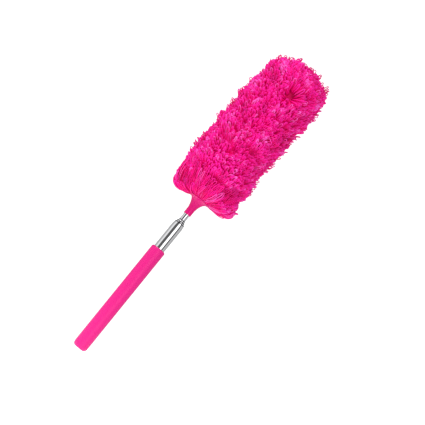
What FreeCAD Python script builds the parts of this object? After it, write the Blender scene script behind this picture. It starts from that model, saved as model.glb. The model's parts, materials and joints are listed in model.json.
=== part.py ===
"""Feather duster with a four-section telescopic steel pole.

Millimetres. +Z runs along the pole, from the closed end of the grip to the tip of the duster head.
The origin is the centre of the grip's flat end face. The pole is shown pushed in.

Every turned piece is drawn as an outline of (radius, height) corners and revolved about Z. A corner
may carry a third number, the radius of the arc that rounds it.
"""
import math
import os

import FreeCAD
import Part

Vector = FreeCAD.Vector

# ---- grip ----
GRIP_RADIUS = 12.5
GRIP_LENGTH = 203.0
GRIP_BUTT_ROUND = 6.0
GRIP_MOUTH_ROUND = 3.0
GRIP_BORE_EDGE = 0.5
GRIP_FLOOR = 4.0
GLUE_GAP = 0.05

# ---- telescopic pole, from the fixed outer section (0) to the thin inner one (3) ----
TUBE_RADII = (9.5, 8.0, 6.5, 5.0)
TUBE_WALL = 0.5
MOUTH_HEIGHTS = (256.0, 259.0, 262.4)
SHOULDER_LENGTHS = (7.0, 6.0, 5.5)
MOUTH_LIP = 1.2
MOUTH_CLEARANCE = 0.05
SHOULDER_ROUNDS = (4.0, 3.5)
MOUTH_ROUNDS = (1.5, 2.0)
MOUTH_EDGE = 0.2
INNER_TUBE_TOP = 292.0

# ---- tail of each section: end plug, friction spring, stop ferrule ----
PLUG_FLANGE = 2.0
PLUG_SPIGOT = 6.0
PLUG_VENT_RADIUS = 1.0
PLUG_EDGE = 0.4
PLUG_LEAD_IN = 0.6
FIT_GAP = 0.02
STACK_GAP = 0.3
SPRING_LENGTH = 7.8
SPRING_SHEET = 0.3
SPRING_SLOT_DEGREES = 34.0
FERRULE_LENGTH = 4.0
FERRULE_EDGE = 0.25
RUNNING_GAP = 0.06
FLANGE_INSET = 0.1

# ---- neck: the trumpet that joins the pole to the duster head ----
NECK_START = 274.0
NECK_COLLAR_RADIUS = 6.5
NECK_BORE_RADIUS = 5.05
NECK_BORE_TOP = 294.0
NECK_FLARE_START = 285.0
NECK_LIP_RADIUS = 17.0
NECK_LIP_BOTTOM = 304.0
NECK_LIP = 2.6
NECK_SPIGOT_RADIUS = 6.2
NECK_SPIGOT_TOP = 324.0
NECK_WEB = 3.0
SCREW_WELL_RADIUS = 3.6

# ---- screw and insert that hold the neck on the inner tube ----
INSERT_BOTTOM = 278.0
INSERT_FLANGE = 1.6
SCREW_RADIUS = 1.45
SCREW_HOLE_RADIUS = 1.7
SCREW_TIP = 281.0
SCREW_HEAD_RADIUS = 2.8
SCREW_HEAD_HEIGHT = 2.2
SCREW_POINT = (0.5, 2.5)
SCREW_SLOT = (0.9, 1.0)

# ---- duster core and sleeve ----
CORE_RADIUS = 8.0
CORE_BORE_RADIUS = 6.25
CORE_TOP = 548.0
CAP_SPIGOT = 12.0
SLEEVE_GAP = 0.1
SLEEVE_THICKNESS = 1.3
TIE_RADIUS = 1.1
TIE_TURNS = 3
KNOT_RADIUS = 3.0
KNOT_HEIGHT = 2.4

# ---- microfibre fringe, sewn round the sleeve in rows ----
FRINGE_RADIUS = 61.0
FRINGE_TIP = 587.0
FRINGE_CLEARANCE = 0.3
HEM_RADIUS = 50.0
HEM_HEIGHT = 297.0
HEM_ROUND_TOP = 360.0
HEM_ROW_TOP = 322.0
ROW_COUNT = 10
ROW_HEIGHT = 24.0

OUT = "parts"


# ---- drawing helpers ----
def at(radius, height):
    """The point at that radius and height, in the XZ plane."""
    return Vector(radius, 0, height)


def line(start, end):
    return Part.LineSegment(start, end).toShape()


def rounded(before, corner, after, radius):
    """Start, middle and end of the arc of that radius that rounds the corner between its neighbours."""
    back = (before - corner).normalize()
    on = (after - corner).normalize()
    half = back.getAngle(on) / 2
    reach = radius / math.tan(half)
    bisector = (back + on).normalize()
    middle = corner + bisector * (radius / math.sin(half) - radius)
    return corner + back * reach, middle, corner + on * reach


def outline(corners):
    """A closed ring of edges with the corners (radius, height) or (radius, height, rounding)."""
    points = [at(c[0], c[1]) for c in corners]
    runs = []
    for i, corner in enumerate(corners):
        here = points[i]
        if len(corner) > 2:
            runs.append(rounded(points[i - 1], here, points[(i + 1) % len(points)], corner[2]))
        else:
            runs.append((here,))
    edges = []
    for i, run in enumerate(runs):
        if len(run) == 3:
            edges.append(Part.Arc(*run).toShape())
        following = runs[(i + 1) % len(runs)][0]
        if (following - run[-1]).Length > 1e-6:
            edges.append(line(run[-1], following))
    return edges


def quarter_round(radius, height, upwards=True):
    """The quarter arc about the axis point at that height, between the pole and the equator."""
    diagonal = radius * math.sqrt(0.5)
    ends = [at(radius, height), at(0, height + radius)]
    if not upwards:
        ends.reverse()
    return Part.Arc(ends[0], at(diagonal, height + diagonal), ends[1]).toShape()


def swept(edges, degrees=360.0):
    """The solid that a closed ring of edges in the XZ plane sweeps about Z."""
    face = Part.Face(Part.Wire(edges))
    return face.revolve(Vector(0, 0, 0), Vector(0, 0, 1), degrees)


def turned(corners):
    """The solid that the outline with those corners sweeps about Z."""
    return swept(outline(corners))


def ring(inner, outer, bottom, top, edge=0.0):
    """A plain ring, with its four edges rounded if edge is given."""
    rounding = (edge,) if edge else ()
    corners = ((inner, bottom), (outer, bottom), (outer, top), (inner, top))
    return turned([corner + rounding for corner in corners])


def bore_of(section):
    return TUBE_RADII[section] - TUBE_WALL


# ---- handle ----
def grip():
    """A closed-ended moulded tube over the outer pole section."""
    bore = TUBE_RADII[0] + GLUE_GAP
    return turned([
        (0, 0), (GRIP_RADIUS, 0, GRIP_BUTT_ROUND), (GRIP_RADIUS, GRIP_LENGTH, GRIP_MOUTH_ROUND),
        (bore, GRIP_LENGTH, GRIP_BORE_EDGE), (bore, GRIP_FLOOR), (0, GRIP_FLOOR),
    ])


def tube(section, bottom):
    """A pole section whose mouth is swaged in until it guides the next section."""
    outer = TUBE_RADII[section]
    inner = bore_of(section)
    mouth_bore = TUBE_RADII[section + 1] + MOUTH_CLEARANCE
    mouth_outer = mouth_bore + TUBE_WALL
    top = MOUTH_HEIGHTS[section]
    bend_end = top - MOUTH_LIP
    bend_start = top - SHOULDER_LENGTHS[section]
    return turned([
        (inner, bottom), (outer, bottom),
        (outer, bend_start, SHOULDER_ROUNDS[0]), (mouth_outer, bend_end, MOUTH_ROUNDS[0]),
        (mouth_outer, top, MOUTH_EDGE), (mouth_bore, top, MOUTH_EDGE),
        (mouth_bore, bend_end, MOUTH_ROUNDS[1]), (inner, bend_start, SHOULDER_ROUNDS[1]),
    ])


def inner_tube(bottom):
    return ring(bore_of(3), TUBE_RADII[3], bottom, INNER_TUBE_TOP)


def plug(section, flange_radius, flange_bottom):
    """A plastic end plug: a flange under the tube, a spigot inside it and a vent for the air."""
    spigot = bore_of(section) - FIT_GAP
    seat = flange_bottom + PLUG_FLANGE
    return turned([
        (PLUG_VENT_RADIUS, flange_bottom), (flange_radius, flange_bottom, PLUG_EDGE),
        (flange_radius, seat), (spigot, seat), (spigot, seat + PLUG_SPIGOT, PLUG_LEAD_IN),
        (PLUG_VENT_RADIUS, seat + PLUG_SPIGOT),
    ])


def friction_spring(section, bottom):
    """A bowed C of spring sheet that grips the bore of the section outside it."""
    inner = TUBE_RADII[section] + RUNNING_GAP
    bulge = bore_of(section - 1) - RUNNING_GAP
    waist = inner + SPRING_SHEET
    middle = bottom + SPRING_LENGTH / 2
    top = bottom + SPRING_LENGTH
    edges = [
        line(at(inner, bottom), at(waist, bottom)),
        Part.Arc(at(waist, bottom), at(bulge, middle), at(waist, top)).toShape(),
        line(at(waist, top), at(inner, top)),
        Part.Arc(at(inner, top), at(bulge - SPRING_SHEET, middle), at(inner, bottom)).toShape(),
    ]
    return swept(edges, 360 - SPRING_SLOT_DEGREES)


def stop_ferrule(section, bottom):
    """The ring crimped on a section's tail, which meets the swaged shoulder at full reach."""
    inner = TUBE_RADII[section] + FIT_GAP
    outer = bore_of(section - 1) - RUNNING_GAP
    return ring(inner, outer, bottom, bottom + FERRULE_LENGTH, FERRULE_EDGE)


def moving_section(section, flange_bottom):
    """The nodes of one sliding pole section, and the height of the top of its plug."""
    number = section + 1
    tube_bottom = flange_bottom + PLUG_FLANGE
    spring_bottom = tube_bottom + STACK_GAP / 2
    ferrule_bottom = spring_bottom + SPRING_LENGTH + STACK_GAP / 2
    flange_radius = bore_of(section - 1) - RUNNING_GAP - FLANGE_INSET
    body = tube(section, tube_bottom) if section < 3 else inner_tube(tube_bottom)
    nodes = {
        f"pole_tube_{number}": body,
        f"end_plug_{number}": plug(section, flange_radius, flange_bottom),
        f"friction_spring_{number}": friction_spring(section, spring_bottom),
        f"stop_ferrule_{number}": stop_ferrule(section, ferrule_bottom),
    }
    shoulder = MOUTH_HEIGHTS[section - 1] - SHOULDER_LENGTHS[section - 1]
    print(f"section {number} slides {shoulder - ferrule_bottom - FERRULE_LENGTH:.1f} mm to its stop")
    return nodes, tube_bottom + PLUG_SPIGOT


# ---- neck and the fixing inside it ----
def lip_top():
    return NECK_LIP_BOTTOM + NECK_LIP


def neck():
    """A collar that opens into a trumpet, with a spigot for the core above its lip."""
    web_top = NECK_BORE_TOP + NECK_WEB
    flare_start = at(NECK_COLLAR_RADIUS, NECK_FLARE_START)
    lip_edge = at(NECK_LIP_RADIUS, NECK_LIP_BOTTOM)
    rise = NECK_LIP_BOTTOM - NECK_FLARE_START
    flare = Part.BezierCurve()
    flare.setPoles([
        flare_start, at(NECK_COLLAR_RADIUS + 1, NECK_FLARE_START + 0.4 * rise),
        at(NECK_COLLAR_RADIUS + 4, NECK_LIP_BOTTOM - 1), lip_edge,
    ])
    lip_nose = at(NECK_LIP_RADIUS + NECK_LIP / 2, NECK_LIP_BOTTOM + NECK_LIP / 2)
    straight = [
        at(NECK_LIP_RADIUS, lip_top()), at(NECK_SPIGOT_RADIUS, lip_top()),
        at(NECK_SPIGOT_RADIUS, NECK_SPIGOT_TOP), at(SCREW_WELL_RADIUS, NECK_SPIGOT_TOP),
        at(SCREW_WELL_RADIUS, web_top), at(SCREW_HOLE_RADIUS, web_top),
        at(SCREW_HOLE_RADIUS, NECK_BORE_TOP), at(NECK_BORE_RADIUS, NECK_BORE_TOP),
        at(NECK_BORE_RADIUS, NECK_START), at(NECK_COLLAR_RADIUS, NECK_START), flare_start,
    ]
    edges = [flare.toShape(), Part.Arc(lip_edge, lip_nose, straight[0]).toShape()]
    edges += [line(a, b) for a, b in zip(straight, straight[1:])]
    return swept(edges)


def tip_insert():
    """The plug in the inner tube's top that takes the neck screw."""
    spigot = bore_of(3) - FIT_GAP
    flange_top = INNER_TUBE_TOP + INSERT_FLANGE
    return turned([
        (SCREW_RADIUS, INSERT_BOTTOM), (spigot, INSERT_BOTTOM, PLUG_EDGE), (spigot, INNER_TUBE_TOP),
        (TUBE_RADII[3], INNER_TUBE_TOP), (TUBE_RADII[3], flange_top, 0.3), (SCREW_RADIUS, flange_top),
    ])


def neck_screw():
    """A slotted pan-head screw, down through the neck's web into the insert."""
    seat = NECK_BORE_TOP + NECK_WEB
    head_top = seat + SCREW_HEAD_HEIGHT
    shank = SCREW_RADIUS - FIT_GAP
    screw = turned([
        (0, SCREW_TIP), (SCREW_POINT[0], SCREW_TIP), (shank, SCREW_TIP + SCREW_POINT[1]),
        (shank, seat), (SCREW_HEAD_RADIUS, seat), (SCREW_HEAD_RADIUS, head_top, 1.0),
        (0, head_top),
    ])
    width, depth = SCREW_SLOT
    length = 3 * SCREW_HEAD_RADIUS
    slot = Part.makeBox(length, width, depth, Vector(-length / 2, -width / 2, head_top - depth))
    return screw.cut(slot)


# ---- duster head ----
def core_rod():
    return ring(CORE_BORE_RADIUS, CORE_RADIUS, lip_top(), CORE_TOP)


def core_cap():
    """A domed cap whose spigot fits inside the core rod."""
    spigot = CORE_BORE_RADIUS - GLUE_GAP
    foot = CORE_TOP - CAP_SPIGOT
    corners = [
        at(0, CORE_TOP + CORE_RADIUS), at(0, foot), at(spigot, foot), at(spigot, CORE_TOP),
        at(CORE_RADIUS, CORE_TOP),
    ]
    edges = [line(a, b) for a, b in zip(corners, corners[1:])]
    return swept(edges + [quarter_round(CORE_RADIUS, CORE_TOP)])


def sleeve_radius():
    return CORE_RADIUS + SLEEVE_GAP + SLEEVE_THICKNESS


def sleeve():
    """The backing cloth: a sock over the core, closed by a dome at the tip."""
    inner = CORE_RADIUS + SLEEVE_GAP
    outer = sleeve_radius()
    bottom = lip_top() + SLEEVE_GAP
    return swept([
        line(at(inner, bottom), at(outer, bottom)),
        line(at(outer, bottom), at(outer, CORE_TOP)),
        quarter_round(outer, CORE_TOP),
        line(at(0, CORE_TOP + outer), at(0, CORE_TOP + inner)),
        quarter_round(inner, CORE_TOP, upwards=False),
        line(at(inner, CORE_TOP), at(inner, bottom)),
    ])


def tie_bottom():
    return lip_top() + 2 * TIE_RADIUS


def tie_top():
    return tie_bottom() + TIE_TURNS * 2 * TIE_RADIUS


def gather_tie():
    """Turns of cord, side by side, that draw the sleeve in just above the neck's lip."""
    inner = sleeve_radius() + GLUE_GAP
    valley = inner + TIE_RADIUS
    heights = [tie_bottom() + turn * 2 * TIE_RADIUS for turn in range(TIE_TURNS + 1)]
    edges = [
        Part.Arc(at(valley, low), at(valley + TIE_RADIUS, (low + high) / 2), at(valley, high)).toShape()
        for low, high in zip(heights, heights[1:])
    ]
    edges += [
        line(at(valley, tie_top()), at(inner, tie_top())),
        line(at(inner, tie_top()), at(inner, tie_bottom())),
        line(at(inner, tie_bottom()), at(valley, tie_bottom())),
    ]
    return swept(edges)


def top_knot():
    """The stitched knot that closes the sleeve at its tip."""
    seat = CORE_TOP + sleeve_radius() + GLUE_GAP
    return turned([
        (0, seat), (KNOT_RADIUS, seat, 0.6), (KNOT_RADIUS, seat + KNOT_HEIGHT, 1.0),
        (0, seat + KNOT_HEIGHT),
    ])


def fringe():
    """The outer shape of the whole fringe, solid inside down to the sleeve."""
    inner = sleeve_radius() + GLUE_GAP
    over_tie = sleeve_radius() + 2 * TIE_RADIUS + FRINGE_CLEARANCE
    over_lip = NECK_LIP_RADIUS + NECK_LIP / 2 + FRINGE_CLEARANCE
    base = lip_top() + FRINGE_CLEARANCE
    crown_seat = CORE_TOP + sleeve_radius() + KNOT_HEIGHT + FRINGE_CLEARANCE
    dome = FRINGE_TIP - FRINGE_RADIUS
    width = FRINGE_RADIUS - HEM_RADIUS
    height = HEM_ROUND_TOP - HEM_HEIGHT
    turn = 2 * math.atan(width / height)
    round_radius = height / math.sin(turn)
    round_middle = at(
        FRINGE_RADIUS - round_radius * (1 - math.cos(turn / 2)),
        HEM_ROUND_TOP - round_radius * math.sin(turn / 2),
    )
    hem = at(HEM_RADIUS, HEM_HEIGHT)
    inside = [
        at(0, FRINGE_TIP), at(0, crown_seat), at(inner, crown_seat),
        at(inner, tie_top() + FRINGE_CLEARANCE), at(over_tie, tie_top() + FRINGE_CLEARANCE),
        at(over_tie, base), at(over_lip, base), at(over_lip, NECK_LIP_BOTTOM - 1), hem,
    ]
    edges = [
        Part.Arc(hem, round_middle, at(FRINGE_RADIUS, HEM_ROUND_TOP)).toShape(),
        line(at(FRINGE_RADIUS, HEM_ROUND_TOP), at(FRINGE_RADIUS, dome)),
        quarter_round(FRINGE_RADIUS, dome),
    ]
    return swept(edges + [line(a, b) for a, b in zip(inside, inside[1:])])


def slab(bottom, top):
    """A disc wider than the fringe, between two heights."""
    return Part.makeCylinder(2 * FRINGE_RADIUS, top - bottom, Vector(0, 0, bottom))


def fringe_rows():
    """The fringe as sewn: a hem that droops over the neck, equal rows and a crown at the tip."""
    whole = fringe()
    rows_top = HEM_ROW_TOP + ROW_COUNT * ROW_HEIGHT
    nodes = {"fringe_hem": whole.common(slab(0, HEM_ROW_TOP))}
    for i in range(ROW_COUNT):
        bottom = HEM_ROW_TOP + i * ROW_HEIGHT
        nodes[f"fringe_row_{i + 1:02d}"] = whole.common(slab(bottom, bottom + ROW_HEIGHT))
    nodes["fringe_crown"] = whole.common(slab(rows_top, FRINGE_TIP + ROW_HEIGHT))
    return nodes


# ---- assembly ----
def build():
    nodes = {"grip": grip()}
    nodes["pole_tube_1"] = tube(0, GRIP_FLOOR + PLUG_FLANGE)
    nodes["end_plug_1"] = plug(0, TUBE_RADII[0], GRIP_FLOOR)
    seat = GRIP_FLOOR + PLUG_FLANGE + PLUG_SPIGOT
    for section in (1, 2, 3):
        moving, seat = moving_section(section, seat + STACK_GAP)
        nodes.update(moving)
    nodes["tip_insert"] = tip_insert()
    nodes["neck_screw"] = neck_screw()
    nodes["neck"] = neck()
    nodes["core_rod"] = core_rod()
    nodes["core_cap"] = core_cap()
    nodes["sleeve"] = sleeve()
    nodes["gather_tie"] = gather_tie()
    nodes["top_knot"] = top_knot()
    nodes.update(fringe_rows())
    return nodes


def main():
    os.makedirs(OUT, exist_ok=True)
    for name, shape in build().items():
        solids = [s if s.Volume > 0 else s.reversed() for s in shape.Solids]
        sound = all(s.isValid() and s.isClosed() for s in solids)
        whole = solids[0] if len(solids) == 1 else Part.makeCompound(solids)
        whole.exportStep(os.path.join(OUT, name + ".step"))
        print(f"{name}: {len(solids)} solid(s), {whole.Volume:.0f} mm3, sound {sound}")


main()
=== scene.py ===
"""Looks of the feather duster: a head of looped microfibre yarn, a moulded grip and a chrome pole.

The yarn is made of U-shaped loops that come out of a dense inner pile and bend over its surface.
A place on that surface is (s, angle): s is the distance along the head's outline, from the neck's
lip to the tip, and the angle turns about Z from the front (-Y) towards +X. Lengths are in metres.
"""

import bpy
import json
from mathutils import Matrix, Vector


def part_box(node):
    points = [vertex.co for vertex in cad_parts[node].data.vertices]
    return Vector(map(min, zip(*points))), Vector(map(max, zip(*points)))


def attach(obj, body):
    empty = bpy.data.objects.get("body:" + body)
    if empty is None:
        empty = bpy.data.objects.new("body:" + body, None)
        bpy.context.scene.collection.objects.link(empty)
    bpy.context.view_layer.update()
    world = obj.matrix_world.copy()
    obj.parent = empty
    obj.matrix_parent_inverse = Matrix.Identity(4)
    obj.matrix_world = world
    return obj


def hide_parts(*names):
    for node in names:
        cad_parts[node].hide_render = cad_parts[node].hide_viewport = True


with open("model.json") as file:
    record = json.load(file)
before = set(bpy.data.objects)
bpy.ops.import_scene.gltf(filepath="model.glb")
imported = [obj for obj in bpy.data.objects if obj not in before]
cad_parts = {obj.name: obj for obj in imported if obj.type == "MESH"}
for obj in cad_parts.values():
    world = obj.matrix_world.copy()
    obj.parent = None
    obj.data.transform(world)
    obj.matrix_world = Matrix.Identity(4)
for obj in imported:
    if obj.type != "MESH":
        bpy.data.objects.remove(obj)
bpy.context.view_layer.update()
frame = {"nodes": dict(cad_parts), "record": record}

import json
import math

import bpy
import numpy as np
from mathutils import Matrix, Vector

MM = 0.001
FULL_TURN = 2 * math.pi
UP = np.array([0.0, 0.0, 1.0])

# ---- camera ----
CAMERA_LENS = 120.0
SENSOR = 36.0
FRAME_WIDTH = 684 * MM
AIM = (30 * MM, 0.0, 302.5 * MM)
CAMERA_ELEVATION = -6.0
POLE_SLOPE = 51.0

# ---- lighting: the lights are (place, size, power), and levels are shares of plain white ----
KEY_LIGHT = ((-1.3, -1.5, 2.0), 1.2, 30.0)
FILL_LIGHT = ((0.9, -2.2, 0.6), 1.4, 6.0)
BACKDROP = 1.2
AMBIENT = 0.68
FLOOR_SIZE = 0.8
FLOOR_GLOW = 0.8

# What the chrome reflects: (bearing in degrees from the front towards +X, level) round the studio,
# dimmed by (Z of the direction, level) towards the ceiling.
STUDIO_PANELS = (
    (-180, 0.25), (-140, 0.35), (-122, 0.65), (-98, 0.4), (-86, 0.95), (-56, 0.95), (-49, 0.12),
    (-4, 0.12), (8, 1.1), (42, 1.1), (50, 0.06), (68, 0.1), (78, 0.8), (96, 0.45), (122, 0.6),
    (140, 0.3), (180, 0.25),
)
CEILING = ((0.5, 1.0), (0.72, 0.68), (0.9, 0.25))

# ---- colours: a ramp is a row of (position, colour), and the yarn's painted glow is (colour, strength) ----
# painted shade at the foot of each loop, deep in the pile, lightening to a painted highlight at its
# bend
SHADED_FOOT_TO_LIT_BEND = ((0.0, (0.40, 0.0, 0.06)), (0.6, (0.93, 0.0, 0.20)), (1.0, (1.0, 0.03, 0.53)))
YARN_TINTS = (
    (0.0, (0.48, 0.0, 0.08)), (0.3, (0.88, 0.0, 0.19)),
    (0.7, (1.0, 0.002, 0.34)), (1.0, (1.0, 0.18, 0.68)),
)
TINT_SHARE = 0.6
# painted light: a faint pink glow of the yarn that lifts the shade deep in the pile, though yarn gives
# no light
YARN_PAINTED_GLOW = ((1.0, 0.0, 0.14, 1), 0.04)
# painted shade: the colour of the dark ring at each chrome tube's mouth, where the gap to the inner
# tube casts shade
MOUTH_SHADE_COLOUR = (0.05, 0.05, 0.06, 1)

# ---- painted shade: a dark band at the mouth of each chrome tube, where the gap to the inner tube casts shade, and its soft edge, as shares of the tube's length ----
MOUTH_SHADE = 0.005
MOUTH_SHADE_EDGE = 0.001

# ---- head: the outline that its mean surface follows ----
# Each side's hem turns at a corner, (radius, height above the lip), and the share says how much of
# the way from the corner to the lip and to the hem's top is bent.
HEM_CORNERS = {
    "front": ((46 * MM, 12 * MM), 1.0),
    "left": ((57 * MM, -21 * MM), 0.6),
    "right": ((60 * MM, 2 * MM), 0.2),
}
HEM_START = (-1 * MM, -1.5 * MM)
HEM_TOP = 56 * MM
HEM_RUN = 85 * MM
SURFACE_SINK = 3.9 * MM
DOME_SINK = 7 * MM
DOME_HEIGHT = 45 * MM
DOME_POWER = 2.4

# How the pile leaves a true round, as (height in metres, millimetres): LEAN shifts it towards +X,
# and WIDEN moves its surface outwards.
LEAN = (
    (0.31, 0), (0.33, -1), (0.35, -2), (0.385, -3.5), (0.41, -1), (0.43, -2), (0.46, 0), (0.5, 1.5),
    (0.525, 4.5), (0.535, 7), (0.547, 5), (0.56, 4), (0.59, 6),
)
WIDEN = (
    (0.31, 0), (0.32, -1.5), (0.334, -3), (0.35, 3), (0.362, 1.5), (0.375, -0.5), (0.4, -1),
    (0.42, 1), (0.457, 0), (0.475, 1), (0.5, 0.5), (0.52, 0), (0.534, -1), (0.56, -1),
)

# Low waves over the pile: (length of a wave along s, waves round the head), and where they set in.
RIPPLES = ((55 * MM, 2), (41 * MM, -3), (34 * MM, 5), (70 * MM, -1), (29 * MM, 4))
RIPPLE_HEIGHT = 0.9 * MM
RIPPLES_FROM = (30 * MM, 80 * MM)

# ---- partings: the spots that the loops lean away from, by height and sideways place ----
WHORL = (520 * MM, 9 * MM)
WHORL_WIDTH = 14 * MM
WHORL_PUSH = 1.7
WHORL_DEPTH = 11 * MM
WHORL_HOLE = 6.5 * MM
PARTINGS = (
    (457 * MM, -15 * MM), (436 * MM, -19 * MM), (384 * MM, -8 * MM),
    (404 * MM, 16 * MM), (472 * MM, 12 * MM),
)
PARTING_WIDTH = 8 * MM
PARTING_PUSH = 1.0

# ---- yarn: the shape of a loop ----
SEED = 13
YARN_RADIUS = 1.4 * MM
YARN_SIDES = 5
LOOP_HALF_WIDTH = 1.75 * MM
RUNGS = np.array([0.0, 0.2, 0.4, 0.58, 0.74, 0.87, 0.955, 1.0])
ROUND_FROM = 0.8
FOOT_SPREAD = 0.6

# ---- yarn: each family's (width, thickness), as shares of LOOP_HALF_WIDTH and YARN_RADIUS ----
HEM_SIZE = (1.03, 0.57)
BODY_SIZE = (1.0, 1.0)
TIP_STRAY_SIZE = (1.5, 0.52)
SIDE_STRAY_SIZE = (1.2, 0.52)

# ---- yarn: the filling, which lies a skin under the surface at the lip and deeper further up ----
FILLING_SKIN = 0.5 * MM
FILLING_DEPTH = 7 * MM
FILLING_FROM = 70 * MM
FILLING_TOP_GAP = 4 * MM
# The filling takes a dark red from the yarn's ramps: painted shade of the pile's deep inside.
FILLING_SHADE_TINT = 0.3
FILLING_SHADE_ALONG = 0.4

# ---- yarn: the thick loops over the side and the tip ----
PILE_DEPTH = 16 * MM
LOOP_SPACING = 4.4 * MM
CLUMP_SIZE = 34 * MM
TIP_RISE = (75 * MM, 20 * MM)
WHORL_RISE = (-5 * MM, 12 * MM)

# How far a loop lies over the surface, and what changes that at the tip and in the whorl.
LAY_LENGTH = 12.5 * MM
LAY_RANGE = (0.7, 1.25)
TIP_SHORTER = 0.6
WHORL_LONGER = 0.9

# How far its end stands above the surface.
RIDGE_HEIGHT = 1.7 * MM
STAND_SPREAD = 0.8 * MM
TIP_STAND = 3 * MM

# The angle, in radians, at which its end points away from the surface.
LIFT = math.radians(42)
CLUMP_LIFT = 0.25
LIFT_SPREAD = 0.08
TIP_LIFT = 0.4
WHORL_FLATTER = 0.35

# How far, in radians, its lay turns away from the tip's direction.
CLUMP_TURN = 0.5
FINE_TURN = 0.2
TURN_SPREAD = 0.07

# ---- yarn: the hem's long loops, in tufts that stand in bunches ----
# BODY_START and HEM_END are shares of the hem's run, (at the front and back, at the sides).
HEM_TUFTS = 130
TUFT_LOOPS = 4
TUFT_CREST = 2.4 * MM
HEM_BUNCHES = 72
HEM_REACH = (28 * MM, 56 * MM)
HEM_ENDS = (0.88, 1.08)
HEM_HEIGHTS = (-3.5 * MM, 2 * MM)
SPROUT_SHARE = 0.42
SPROUT_CROWDING = 2.4
TUFT_DRIFT = 0.15
TUFT_UNEVEN = 0.12
LOOP_WANDER = 0.02
LOOP_UNEVEN = 0.7 * MM
# painted light and shade: higher bunches of the hem get paler tints, lower ones darker
BUNCH_PAINTED_LIGHT = 0.8
PALEST_HEM = 0.95
BODY_START = (0.62, 0.46)
HEM_END = (0.95, 0.74)

# ---- yarn: single open loops that stand out, above and below the edge of the tip's zone ----
TIP_ZONE = 58 * MM
STRAY_FOOT = 6 * MM
TIP_STRAYS = 80
TIP_STRAY_RUNS = (11 * MM, 18 * MM)
# painted shade: the tip's strays keep darker tints than the side's, as thin loops seen against the
# light
TIP_STRAY_PALEST = 0.3
SIDE_STRAYS = 800
SIDE_STRAY_RUNS = (10.5 * MM, 13.5 * MM)
SIDE_STRAY_PALEST = 1.0
WHORL_CLEARANCE = 0.4

# ---- yarn: chance, from loop to loop ----
TINT_SPREAD = 0.2
ROLL_SPREAD = 0.5
WIDTH_RANGE = (0.75, 1.2)
THICKNESS_RANGE = (0.88, 1.1)
LUMPINESS = (0.92, 1.08)

rng = np.random.default_rng(SEED)
head_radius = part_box("fringe_row_05")[1].x
lip_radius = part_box("neck")[1].x
lip_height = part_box("sleeve")[0].z
tip_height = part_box("fringe_crown")[1].z
core_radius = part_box("sleeve")[1].x
rows = ["fringe_hem"] + [f"fringe_row_{i:02d}" for i in range(1, 11)] + ["fringe_crown"]


# ---- small helpers ----
def unit(v):
    return v / np.maximum(np.linalg.norm(v, axis=-1, keepdims=True), 1e-12)


def waves(points, size, count=7):
    """Smooth random values, about -1 to 1, that change over that distance."""
    across = unit(rng.normal(size=(count, 3))) * FULL_TURN / size
    phases = rng.uniform(0, FULL_TURN, count)
    return np.sin(points @ across.T + phases).sum(axis=1) / math.sqrt(count)


def smoothstep(x, low, high):
    t = np.clip((x - low) / (high - low), 0, 1)
    return t * t * (3 - 2 * t)


# ---- the head's surface ----
def spread_evenly(points, shares):
    """The places along a run of points at those shares of its length."""
    run = np.concatenate([[0], np.cumsum(np.linalg.norm(np.diff(points, axis=0), axis=1))])
    return np.column_stack([np.interp(shares * run[-1], run, points[:, i]) for i in (0, 1)])


def head_outlines(samples=700):
    """(radius, height) outlines of the pile in the order of HEM_CORNERS, from the lip to the tip.

    They differ in the hem, which takes the first HEM_RUN of s, and share the rest."""
    radius = head_radius - SURFACE_SINK
    lip = np.array([lip_radius, lip_height]) + HEM_START
    join = np.array([radius, lip_height + HEM_TOP])
    dome_base = tip_height - DOME_SINK - DOME_HEIGHT
    rise = np.linspace(0, math.pi / 2, 400)[:, None]
    dome = np.hstack([
        radius * np.cos(rise) ** (2 / DOME_POWER),
        dome_base + DOME_HEIGHT * np.sin(rise) ** (2 / DOME_POWER),
    ])
    body = np.vstack([np.linspace(join, [radius, dome_base], 50), dome])
    body_run = np.linalg.norm(np.diff(body, axis=0), axis=1).sum()
    s = np.linspace(0, HEM_RUN + body_run, samples)
    in_hem = s < HEM_RUN
    body_part = spread_evenly(body, (s[~in_hem] - HEM_RUN) / body_run)
    t = np.linspace(0, 1, 200)[:, None]
    found = []
    for corner, bend in HEM_CORNERS.values():
        corner = np.array([corner[0], lip_height + corner[1]])
        start = corner + (lip - corner) * bend
        end = corner + (join - corner) * bend
        curve = (1 - t) ** 2 * start + 2 * t * (1 - t) * corner + t ** 2 * end
        hem = np.vstack([lip, curve, join])
        found.append(np.vstack([spread_evenly(hem, s[in_hem] / HEM_RUN), body_part]))
    return s, np.array(found)


outline_s, outlines = head_outlines()
slopes = unit(np.gradient(outlines, axis=1))
length = outline_s[-1]
ripple_phases = [rng.uniform(0, FULL_TURN) for _ in RIPPLES]


def blended(values, s, angle):
    """Radial and vertical values at those places, blended between the front and the sides."""
    side = np.sin(angle)
    shares = np.array([1 - side ** 2, side ** 2 * (side < 0), side ** 2 * (side >= 0)])
    found = [[np.interp(s, outline_s, one[:, i]) for i in (0, 1)] for one in values]
    return np.einsum("kn,kin->ni", shares, np.array(found))


def outward(angle):
    return np.column_stack([np.sin(angle), -np.cos(angle), np.zeros_like(angle)])


def axes_at(s, angle):
    """The surface's outward normal, its direction towards the tip and the one round the axis."""
    along = unit(blended(slopes, s, angle))
    out = outward(angle)
    normal = unit(out * along[:, 1:] - UP * along[:, :1])
    towards_tip = unit(out * along[:, :1] + UP * along[:, 1:])
    return normal, towards_tip, np.cross(normal, towards_tip)


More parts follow.
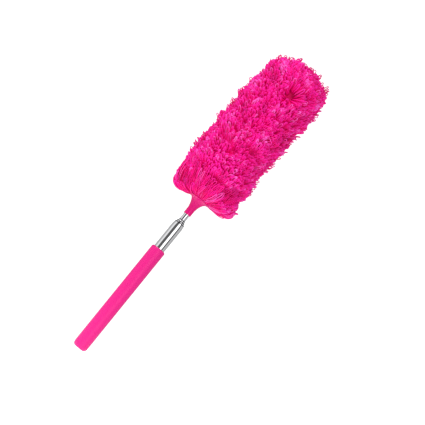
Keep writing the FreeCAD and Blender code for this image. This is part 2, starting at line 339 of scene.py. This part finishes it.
def surface(s, angle, height=0.0):
    """Points that stand that high above the pile's mean surface, which ripples and leans a little."""
    radius_height = blended(outlines, s, angle)
    level = radius_height[:, 1]
    swell = sum(
        RIPPLE_HEIGHT * np.sin(FULL_TURN / wave * s + turns * angle + phase)
        for (wave, turns), phase in zip(RIPPLES, ripple_phases)
    )
    swell = swell * smoothstep(s, *RIPPLES_FROM) + np.interp(level, *zip(*WIDEN)) * MM
    point = outward(angle) * radius_height[:, :1] + UP * radius_height[:, 1:]
    point[:, 0] += np.interp(level, *zip(*LEAN)) * MM
    return point + axes_at(s, angle)[0] * np.reshape(swell + height, (-1, 1))


def scattered(spacing, start, stop, jitter=0.35):
    """(s, angle) of places about that far apart, in rings from one s to another."""
    places = []
    for ring_s in np.arange(start, stop, spacing):
        around = FULL_TURN * np.interp(ring_s, outline_s, outlines[0, :, 0])
        count = max(1, round(around / spacing))
        steps = np.arange(count) + rng.uniform(-jitter, jitter, count) + rng.random()
        s = ring_s + rng.uniform(-jitter, jitter, count) * spacing
        places.append(np.column_stack([
            np.clip(s, 0, length - 0.5 * MM),
            steps / count * FULL_TURN,
        ]))
    return np.concatenate(places)


# ---- which way the loops lean ----
def front_place(height, sideways):
    """The (s, angle) of a place on the front of the head."""
    radius, heights = outlines[0].T
    s = np.interp(height, heights, outline_s)
    return s, math.asin(min(1.0, sideways / np.interp(s, outline_s, radius)))


parting_places = np.array([front_place(*place) for place in (WHORL, *PARTINGS)])
parting_points = surface(*parting_places.T)
parting_widths = np.array([WHORL_WIDTH] + [PARTING_WIDTH] * len(PARTINGS))
parting_pushes = np.array([WHORL_PUSH] + [PARTING_PUSH] * len(PARTINGS))
whorl_point = parting_points[0]


def whorl_share(point):
    """1 in the middle of the whorl, falling to 0 round it."""
    return np.exp(-0.5 * (np.linalg.norm(point - whorl_point, axis=1) / WHORL_WIDTH) ** 2)


def lay_directions(s, angle):
    """How the loops at those places lean over the surface: towards the tip, away from partings."""
    point = surface(s, angle)
    normal, towards_tip, around = axes_at(s, angle)
    turn = CLUMP_TURN * waves(point, CLUMP_SIZE)
    turn = turn + FINE_TURN * waves(point, 0.5 * CLUMP_SIZE)
    turn = turn + rng.normal(0, TURN_SPREAD, len(s))
    lay = towards_tip * np.cos(turn)[:, None] + around * np.sin(turn)[:, None]
    away = point[:, None] - parting_points[None]
    gap = np.linalg.norm(away, axis=2)
    push = parting_pushes * np.exp(-0.5 * (gap / parting_widths) ** 2)
    lay = lay + (unit(away) * push[:, :, None]).sum(axis=1)
    lay = lay - normal * (lay * normal).sum(axis=1, keepdims=True)
    return unit(lay), normal, point


# ---- loops of yarn: each family gives curves, headings, normals, s and tints ----
def hem_place(angle, shares):
    """The s at a share of the hem's run: one share at the front and back, another at the sides."""
    front, side = shares
    return HEM_RUN * (side + (front - side) * np.cos(angle) ** 2)


def hem_loops():
    """The long loops, in tufts that fan out of the neck's lip and end round the lower edge."""
    tuft_angle = (rng.permutation(HEM_TUFTS) + rng.random(HEM_TUFTS)) * FULL_TURN / HEM_TUFTS
    tuft_start = SPROUT_SHARE * HEM_RUN * rng.random(HEM_TUFTS) ** SPROUT_CROWDING
    tuft_end = tuft_start + rng.uniform(*HEM_REACH, HEM_TUFTS)
    tuft_drift = rng.normal(0, TUFT_DRIFT, HEM_TUFTS)
    bunch = rng.random(HEM_BUNCHES)[(tuft_angle / FULL_TURN * HEM_BUNCHES).astype(int)]
    tuft_height = np.interp(0.5 * bunch + 0.5 * rng.random(HEM_TUFTS), (0, 1), HEM_HEIGHTS)
    across = np.tile(np.linspace(-1, 1, TUFT_LOOPS), HEM_TUFTS)
    across = across + rng.normal(0, TUFT_UNEVEN, len(across))
    angle, start, end, drift, tall = (
        np.repeat(values, TUFT_LOOPS)
        for values in (tuft_angle, tuft_start, tuft_end, tuft_drift, tuft_height)
    )
    count = len(angle)
    end = np.minimum(end * rng.uniform(*HEM_ENDS, count), hem_place(angle, HEM_END))
    crest = TUFT_CREST * (1 - across ** 2)
    sunk = (-1 - 4 * smoothstep(start, 0, 15 * MM)) * MM
    # Share of the loop's length, height, half the tuft's width in radians, and share of its crest.
    stages = (
        (0.0, sunk, 0.05, 0),
        (0.33, 0.5 * MM, 0.11, 0.7),
        (0.72, 1 * MM, 0.12, 1),
        (1.0, -0.8 * MM, 0.10, 0.6),
    )
    controls = []
    for share, height, width, crown in stages:
        wander = rng.normal(0, LOOP_WANDER, count) * share
        turned = angle + drift * share + across * width + wander
        uneven = rng.normal(0, LOOP_UNEVEN, count) * share
        risen = height + tall * math.sqrt(share) + crest * crown + uneven
        controls.append(surface(start + (end - start) * share, turned, risen))
    controls = np.stack(controls, axis=1)
    heading = unit(controls[:, 3] - controls[:, 2])
    normal = axes_at(end, angle + drift)[0]
    # painted light and shade: raised bunches paler, low bunches darker, with a random tint for each
    # loop
    tint = np.repeat(BUNCH_PAINTED_LIGHT * bunch, TUFT_LOOPS) + rng.normal(0, TINT_SPREAD, count)
    return controls, heading, normal, np.zeros(count), np.clip(tint, 0, PALEST_HEM)


def body_loops():
    """The thick loops over the side and the tip of the head."""
    s, angle = scattered(LOOP_SPACING, 0.4 * HEM_RUN, length).T
    above_hem = s > hem_place(angle, BODY_START)
    in_hole = np.linalg.norm(surface(s, angle) - whorl_point, axis=1) < WHORL_HOLE
    s, angle = s[above_hem & ~in_hole], angle[above_hem & ~in_hole]
    count = len(s)
    lay, normal, point = lay_directions(s, angle)
    near_tip = smoothstep(s, length - TIP_RISE[0], length - TIP_RISE[1])
    above_whorl = smoothstep(point[:, 2] - whorl_point[2], *WHORL_RISE)
    in_whorl = whorl_share(point) * above_whorl
    reach = LAY_LENGTH * rng.uniform(*LAY_RANGE, count)
    reach = reach * (1 - TIP_SHORTER * near_tip + WHORL_LONGER * in_whorl)
    ridge = waves(point, CLUMP_SIZE)
    stand = rng.normal(0, STAND_SPREAD, count) + RIDGE_HEIGHT * ridge
    stand = stand + near_tip * rng.uniform(-TIP_STAND, TIP_STAND, count)
    lift = LIFT + CLUMP_LIFT * waves(point, CLUMP_SIZE)
    lift = lift + TIP_LIFT * near_tip - WHORL_FLATTER * in_whorl
    lift = lift + rng.normal(0, LIFT_SPREAD, count)
    foot = surface(s, angle, -PILE_DEPTH)
    top = surface(s, angle, stand) + lay * reach[:, None]
    top = top - normal * (reach ** 2 / (2 * head_radius))[:, None]
    heading = unit(lay * np.cos(lift)[:, None] + normal * np.sin(lift)[:, None])
    controls = np.stack([
        foot,
        foot + normal * (0.6 * PILE_DEPTH) + rng.normal(0, 1 * MM, foot.shape),
        top - heading * (0.5 * reach + 3.5 * MM)[:, None],
        top,
    ], axis=1)
    # painted light and shade: loops on the pile's ridges get paler tints and those in the whorl darker
    # ones, over a random tint for each loop
    tint = 0.5 + 0.26 * ridge - 0.2 * in_whorl + rng.normal(0, TINT_SPREAD, count)
    return controls, heading, normal, s, np.clip(tint, 0, 1)


def stray_loops(count, low, high, runs, palest):
    """Open loops that stand out of the pile on their own between two s, clear of the whorl."""
    s = rng.uniform(low, high, count)
    angle = rng.uniform(0, FULL_TURN, count)
    clear = whorl_share(surface(s, angle)) < WHORL_CLEARANCE
    s, angle, count = s[clear], angle[clear], clear.sum()
    normal, _, around = axes_at(s, angle)
    upwards = UP * rng.uniform(0.4, 1.3, count)[:, None]
    heading = unit(normal + upwards + around * rng.normal(0, 0.25, count)[:, None])
    foot = surface(s, angle, -STRAY_FOOT)
    run = rng.uniform(*runs, count)[:, None]
    controls = np.stack([foot + heading * run * share for share in (0, 0.33, 0.67, 1)], axis=1)
    return controls, heading, normal, s, rng.uniform(0, palest, count)


def sideways_of(heading, normal):
    """The direction in which each loop is wide: mostly flat on the surface, rolled by chance."""
    flat = unit(np.cross(heading, normal))
    roll = rng.normal(0, ROLL_SPREAD, len(heading))[:, None]
    return flat * np.cos(roll) + np.cross(heading, flat) * np.sin(roll)


# ---- tubes along the loops ----
def bezier(controls, t):
    """Points and directions of cubic curves: controls is (loops, 4, 3), t is (rungs,)."""
    t = t[:, None]
    b0, b1, b2, b3 = (controls[:, i, None, :] for i in range(4))
    point = (1 - t) ** 3 * b0 + 3 * t * (1 - t) ** 2 * b1 + 3 * t * t * (1 - t) * b2 + t ** 3 * b3
    slope = (1 - t) ** 2 * (b1 - b0) + 2 * t * (1 - t) * (b2 - b1) + t * t * (b3 - b2)
    return point, unit(slope)


def there_and_back(up, down):
    """A loop's values from foot to end and back to the foot, with the end itself only once."""
    return np.concatenate([up, down[:, -2::-1]], axis=1)


def loop_tubes(controls, sideways, half_width, radius):
    """Tubes that run up one side of each curve, round its end and down the other side.

    sideways is the direction in which each loop is wide. Returns vertices, faces and the height of
    each vertex along its loop, from 0 to 1."""
    middle, slope = bezier(controls, RUNGS)
    side = sideways[:, None, :]
    side = unit(side - slope * (side * slope).sum(axis=2, keepdims=True))
    spread = FOOT_SPREAD + (1 - FOOT_SPREAD) * smoothstep(RUNGS, 0.0, 0.6)
    past_round = np.clip(RUNGS - ROUND_FROM, 0, 1) / (1 - ROUND_FROM)
    spread = spread * np.sqrt(np.clip(1 - past_round ** 2, 0, 1))
    offset = side * (spread[None, :, None] * half_width[:, None, None])
    path = there_and_back(middle + offset, middle - offset)
    across = np.cross(slope, side)
    flat = there_and_back(across, across)
    heading = unit(np.gradient(path, axis=1))
    flat = unit(flat - heading * (flat * heading).sum(axis=2, keepdims=True))
    other = np.cross(heading, flat)
    count, rings = path.shape[:2]
    lumps = rng.uniform(*LUMPINESS, (count, rings))
    thick = (radius[:, None] * lumps)[:, :, None, None]
    turn = (np.arange(YARN_SIDES) * FULL_TURN / YARN_SIDES)[None, None, :, None]
    ring = flat[:, :, None] * np.cos(turn) + other[:, :, None] * np.sin(turn)
    vertices = path[:, :, None] + ring * thick
    index = np.arange(count * rings * YARN_SIDES).reshape(count, rings, YARN_SIDES)
    beside = np.roll(index, -1, axis=2)
    walls = np.stack([index[:, :-1], beside[:, :-1], beside[:, 1:], index[:, 1:]], axis=-1)
    caps = np.concatenate([index[:, 0, ::-1], index[:, -1]])
    along = np.concatenate([RUNGS, RUNGS[-2::-1]])
    along = np.broadcast_to(along[None, :, None], index.shape)
    faces = walls.reshape(-1, 4).tolist() + caps.tolist()
    return vertices.reshape(-1, 3), faces, along.reshape(-1)


# ---- pieces ----
def filling(low, high, sides=96, rings=9):
    """The dense inside of the pile between two s: a closed ring from the sleeve outwards."""
    angle = np.arange(sides) * FULL_TURN / sides
    runs = []
    for s in np.linspace(low, high, rings):
        place = np.full(sides, s)
        depth = FILLING_SKIN + FILLING_DEPTH * smoothstep(s, 0.0, FILLING_FROM)
        depth = depth + WHORL_DEPTH * whorl_share(surface(place, angle))
        runs.append(surface(place, angle, -depth))
    inner = [
        outward(angle) * (core_radius + FILLING_SKIN) + UP * run[:, 2:]
        for run in (runs[0], runs[-1])
    ]
    vertices = np.array([inner[0], *runs, inner[1]])
    index = np.arange(len(vertices) * sides).reshape(len(vertices), sides)
    after, beside = np.roll(index, -1, axis=0), np.roll(index, -1, axis=1)
    faces = np.stack([index, beside, np.roll(after, -1, axis=1), after], axis=-1)
    return vertices.reshape(-1, 3), faces.reshape(-1, 4).tolist()


def row_limits():
    """The s at which each row of the fringe starts and ends, from the rows' heights on the right."""
    heights = outlines[list(HEM_CORNERS).index("right"), :, 1]
    lowest = np.argmin(heights)
    starts = [np.interp(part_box(row)[0].z, heights[lowest:], outline_s[lowest:]) for row in rows[1:]]
    return list(zip([0.0, *starts], [*starts, length]))


def mesh_piece(name, vertices, faces, values, material):
    """An object with that mesh, smooth, with named values at its vertices."""
    mesh = bpy.data.meshes.new(name)
    mesh.from_pydata(vertices.tolist(), [], faces)
    for label, numbers in values.items():
        attribute = mesh.attributes.new(label, "FLOAT", "POINT")
        attribute.data.foreach_set("value", numbers.astype(np.float32))
    mesh.materials.append(material)
    mesh.shade_smooth()
    piece = bpy.data.objects.new(name, mesh)
    bpy.context.scene.collection.objects.link(piece)
    return piece


def fringe_pieces(material):
    """One piece for each row of the fringe: its loops and the filling they stand in."""
    tip_zone = length - TIP_ZONE
    families = [
        hem_loops(),
        body_loops(),
        stray_loops(TIP_STRAYS, tip_zone, length - 2 * MM, TIP_STRAY_RUNS, TIP_STRAY_PALEST),
        stray_loops(SIDE_STRAYS, 0.9 * HEM_RUN, tip_zone, SIDE_STRAY_RUNS, SIDE_STRAY_PALEST),
    ]
    sizes = np.repeat(
        [HEM_SIZE, BODY_SIZE, TIP_STRAY_SIZE, SIDE_STRAY_SIZE],
        [len(family[0]) for family in families],
        axis=0,
    )
    controls, heading, normal, place, tints = (np.concatenate(parts) for parts in zip(*families))
    sideways = sideways_of(heading, normal)
    half_width = LOOP_HALF_WIDTH * rng.uniform(*WIDTH_RANGE, len(controls)) * sizes[:, 0]
    radius = YARN_RADIUS * rng.uniform(*THICKNESS_RANGE, len(controls)) * sizes[:, 1]
    for row, (low, high) in zip(rows, row_limits()):
        mine = (place >= low) & (place < high)
        vertices, faces, along = loop_tubes(
            controls[mine], sideways[mine], half_width[mine], radius[mine])
        inner_vertices, inner_faces = filling(low, min(high, length - FILLING_TOP_GAP))
        inner = len(inner_vertices)
        faces += [[i + len(vertices) for i in face] for face in inner_faces]
        tint = np.repeat(tints[mine], len(vertices) // mine.sum())
        # the filling's dark colour is painted shade of the pile's inside
        values = {
            "along": np.concatenate([along, np.full(inner, FILLING_SHADE_ALONG)]),
            "tint": np.concatenate([tint, np.full(inner, FILLING_SHADE_TINT)]),
        }
        vertices = np.concatenate([vertices, inner_vertices])
        piece = mesh_piece(row + "_yarn", vertices, faces, values, material)
        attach(piece, "section_4")
        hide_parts(row)


# ---- nodes ----
def feed(tree, socket, source):
    """Sets a socket to a plain value, or links it to another node's output."""
    if isinstance(source, bpy.types.NodeSocket):
        tree.links.new(source, socket)
    else:
        socket.default_value = source


def add_node(tree, kind, sources=None):
    """A new node, with what feeds its sockets."""
    node = tree.nodes.new("ShaderNode" + kind)
    for socket, source in (sources or {}).items():
        feed(tree, node.inputs[socket], source)
    return node


def ramp(tree, factor, stops):
    """The colour that a ramp gives for that factor."""
    node = add_node(tree, "ValToRGB", {"Fac": factor})
    elements = node.color_ramp.elements
    while len(elements) < len(stops):
        elements.new(0.5)
    for element, (position, colour) in zip(elements, stops):
        element.position = position
        element.color = (*colour, 1.0)
    return node.outputs["Color"]


def mixed(tree, factor, first, second, blend="MIX"):
    """Two colours, mixed by that factor."""
    node = add_node(tree, "Mix")
    node.data_type = "RGBA"
    node.blend_type = blend
    feed(tree, node.inputs["Factor"], factor)
    feed(tree, node.inputs["A"], first)
    feed(tree, node.inputs["B"], second)
    return node.outputs["Result"]


def calculated(tree, operation, first, second):
    node = add_node(tree, "Math", {0: first, 1: second})
    node.operation = operation
    return node.outputs["Value"]


def vertex_value(tree, name):
    """The value of that name that a mesh carries at its vertices."""
    node = add_node(tree, "Attribute")
    node.attribute_name = name
    return node.outputs["Fac"]


def bump(tree, shader, height, strength, distance):
    node = add_node(tree, "Bump", {"Height": height, "Strength": strength, "Distance": distance})
    feed(tree, shader.inputs["Normal"], node.outputs["Normal"])


def speckle(tree, shader, scale, detail, strength, distance):
    """A fine uneven surface: bump from noise."""
    noise = add_node(tree, "TexNoise", {"Scale": scale, "Detail": detail})
    bump(tree, shader, noise.outputs["Fac"], strength, distance)


def mottled(tree, colour, spread, scale):
    """A colour that drifts a little from place to place."""
    noise = add_node(tree, "TexNoise", {"Scale": scale, "Detail": 4})
    darker = tuple(c * (1 - spread) for c in colour)
    lighter = tuple(min(1.0, c * (1 + spread)) for c in colour)
    return ramp(tree, noise.outputs["Fac"], [(0.3, darker), (0.7, lighter)])


# ---- materials ----
def new_material(name):
    material = bpy.data.materials.new(name)
    material.use_nodes = True
    return material, material.node_tree, material.node_tree.nodes["Principled BSDF"]


def yarn_material():
    """Matt yarn: painted shade darkens the foot of its loops and a painted highlight lightens their
    bend, each loop has a tint of its own, and a faint painted glow lifts the shade.
    """
    material, tree, shader = new_material("microfibre_yarn")
    # painted shade towards the loop's foot, painted highlight towards its bend
    depth = ramp(tree, vertex_value(tree, "along"), SHADED_FOOT_TO_LIT_BEND)
    tint = ramp(tree, vertex_value(tree, "tint"), YARN_TINTS)
    feed(tree, shader.inputs["Base Color"], mixed(tree, TINT_SHARE, depth, tint))
    speckle(tree, shader, 1400, 3, 0.35, 0.4 * MM)
    shader.inputs["Roughness"].default_value = 0.5
    shader.inputs["Specular IOR Level"].default_value = 0.15
    # painted light: the yarn glows faintly pink, to lift the shade deep in the pile
    painted_glow, strength = YARN_PAINTED_GLOW
    shader.inputs["Emission Color"].default_value = painted_glow
    shader.inputs["Emission Strength"].default_value = strength
    return material


def plastic(name, colour, roughness, gloss=0.5):
    material, tree, shader = new_material(name)
    feed(tree, shader.inputs["Base Color"], mottled(tree, colour, 0.04, 60))
    speckle(tree, shader, 900, 2, 0.25, 0.05 * MM)
    shader.inputs["Roughness"].default_value = roughness
    shader.inputs["Specular IOR Level"].default_value = gloss
    return material


def metal(name, colour, roughness, streaks, mouth_shade=0.0):
    """Bare metal whose drawing marks run along the pole, with a band of painted shade at its mouth, its
    upper end.
    """
    material, tree, shader = new_material(name)
    place = add_node(tree, "TexCoord").outputs
    drawn = add_node(tree, "Mapping", {"Vector": place["Object"], "Scale": (1, 1, 0.02)})
    marks = add_node(tree, "TexNoise", {"Vector": drawn.outputs["Vector"], "Scale": streaks})
    rough = add_node(tree, "MapRange", {
        "Value": marks.outputs["Fac"],
        "To Min": roughness * 0.7,
        "To Max": roughness * 1.4,
    })
    feed(tree, shader.inputs["Roughness"], rough.outputs["Result"])
    bump(tree, shader, marks.outputs["Fac"], 0.08, 0.02 * MM)
    shader.inputs["Metallic"].default_value = 1
    shade = mottled(tree, colour, 0.03, 40)
    # painted shade: a dark band at the tube's mouth stands in for the shadow in the gap to the inner
    # tube
    if mouth_shade:
        height = add_node(tree, "SeparateXYZ", {"Vector": place["Generated"]}).outputs["Z"]
        in_mouth_shade = ramp(tree, height, [(1 - mouth_shade - MOUTH_SHADE_EDGE, (0, 0, 0)), (1 - mouth_shade, (1, 1, 1))])
        shade = mixed(tree, in_mouth_shade, shade, MOUTH_SHADE_COLOUR)
    feed(tree, shader.inputs["Base Color"], shade)
    return material


def cloth(name, colour, threads):
    """Plain woven cloth or twisted cord."""
    material, tree, shader = new_material(name)
    feed(tree, shader.inputs["Base Color"], mottled(tree, colour, 0.12, 300))
    weave = add_node(tree, "TexWave", {"Scale": threads, "Distortion": 1.5})
    weave.bands_direction = "DIAGONAL"
    bump(tree, shader, weave.outputs["Fac"], 0.6, 0.3 * MM)
    shader.inputs["Roughness"].default_value = 0.85
    shader.inputs["Sheen Weight"].default_value = 0.3
    return material


def finish_cad_nodes():
    """Every CAD node that still shows gets the material of its slot in the record."""
    made = {
        "grip_plastic": plastic("grip_plastic", (0.75, 0.006, 0.22), 0.4, gloss=0.35),
        "neck_plastic": plastic("neck_plastic", (0.72, 0.004, 0.19), 0.3, gloss=0.22),
        "chrome": metal("chrome", (0.82, 0.82, 0.84), 0.06, 900, mouth_shade=MOUTH_SHADE),
        "plug_plastic": plastic("plug_plastic", (0.78, 0.78, 0.75), 0.5),
        "spring_bronze": metal("spring_bronze", (0.62, 0.38, 0.17), 0.25, 500),
        "ferrule_brass": metal("ferrule_brass", (0.70, 0.50, 0.22), 0.2, 700),
        "screw_steel": metal("screw_steel", (0.60, 0.61, 0.64), 0.3, 400),
        "core_plastic": plastic("core_plastic", (0.85, 0.85, 0.83), 0.45),
        "backing_cloth": cloth("backing_cloth", (0.72, 0.01, 0.17), 900),
        "tie_cord": cloth("tie_cord", (0.75, 0.012, 0.20), 1500),
    }
    for part in frame["record"]["subparts"]:
        if part["material_slot"] in made:
            for slot in frame["nodes"][part["node"]].material_slots:
                slot.material = made[part["material_slot"]]


# ---- stage ----
def camera():
    """A camera in front of the duster, rolled so that the pole runs at its slope in the frame."""
    data = bpy.data.cameras.new("camera")
    data.lens, data.sensor_width = CAMERA_LENS, SENSOR
    half_angle = math.atan(SENSOR / 2 / CAMERA_LENS)
    distance = FRAME_WIDTH / 2 / math.tan(half_angle)
    tilt = math.radians(CAMERA_ELEVATION)
    back = Vector((0, -math.cos(tilt), math.sin(tilt)))
    upright = Vector((0, math.sin(tilt), math.cos(tilt)))
    level = upright.cross(back)
    roll = math.radians(90 - POLE_SLOPE)
    right = level * math.cos(roll) + upright * math.sin(roll)
    up = upright * math.cos(roll) - level * math.sin(roll)
    turned = Matrix((right, up, back)).transposed().to_4x4()
    obj = bpy.data.objects.new("camera", data)
    obj.matrix_world = Matrix.Translation(Vector(AIM) + back * distance) @ turned
    bpy.context.scene.collection.objects.link(obj)
    bpy.context.scene.camera = obj


def area_light(name, place, size, power):
    data = bpy.data.lights.new(name, "AREA")
    data.size, data.energy = size, power
    light = bpy.data.objects.new(name, data)
    light.location = place
    light.rotation_mode = "QUATERNION"
    light.rotation_quaternion = (Vector(AIM) - Vector(place)).to_track_quat("-Z", "Y")
    bpy.context.scene.collection.objects.link(light)


def grey(level):
    return (level, level, level)


def studio():
    """A white studio: plain white to the camera, even light for matt surfaces, panels for gloss."""
    world = bpy.data.worlds.new("studio")
    world.use_nodes = True
    bpy.context.scene.world = world
    tree = world.node_tree
    generated = add_node(tree, "TexCoord").outputs["Generated"]
    direction = add_node(tree, "SeparateXYZ", {"Vector": generated}).outputs
    forward = calculated(tree, "MULTIPLY", direction["Y"], -1)
    bearing = calculated(tree, "ARCTAN2", direction["X"], forward)
    round_share = add_node(tree, "MapRange", {
        "Value": bearing,
        "From Min": -math.pi,
        "From Max": math.pi,
    }).outputs["Result"]
    panel_stops = [((degrees + 180) / 360, grey(level)) for degrees, level in STUDIO_PANELS]
    ceiling_stops = [(height, grey(level)) for height, level in CEILING]
    panels = ramp(tree, round_share, panel_stops)
    ceiling = ramp(tree, direction["Z"], ceiling_stops)
    reflected = mixed(tree, 1, panels, ceiling, "MULTIPLY")
    ray = add_node(tree, "LightPath").outputs
    lit = mixed(tree, ray["Is Diffuse Ray"], reflected, (*grey(AMBIENT), 1))
    seen = mixed(tree, ray["Is Camera Ray"], lit, (*grey(BACKDROP), 1))
    feed(tree, tree.nodes["Background"].inputs["Color"], seen)


def floor():
    """A white floor that glows a little, so that it is as plain as the backdrop."""
    bpy.ops.mesh.primitive_plane_add(size=FLOOR_SIZE, location=(0, 0, 0))
    plane = bpy.context.object
    plane.name = "floor"
    material, _, shader = new_material("floor_white")
    shader.inputs["Base Color"].default_value = (0.9, 0.9, 0.9, 1)
    shader.inputs["Roughness"].default_value = 0.9
    shader.inputs["Emission Color"].default_value = (1, 1, 1, 1)
    shader.inputs["Emission Strength"].default_value = FLOOR_GLOW
    plane.data.materials.append(material)


camera()
studio()
floor()
area_light("key", *KEY_LIGHT)
area_light("fill", *FILL_LIGHT)
bpy.context.scene.view_settings.view_transform = "Standard"

finish_cad_nodes()
fringe_pieces(yarn_material())
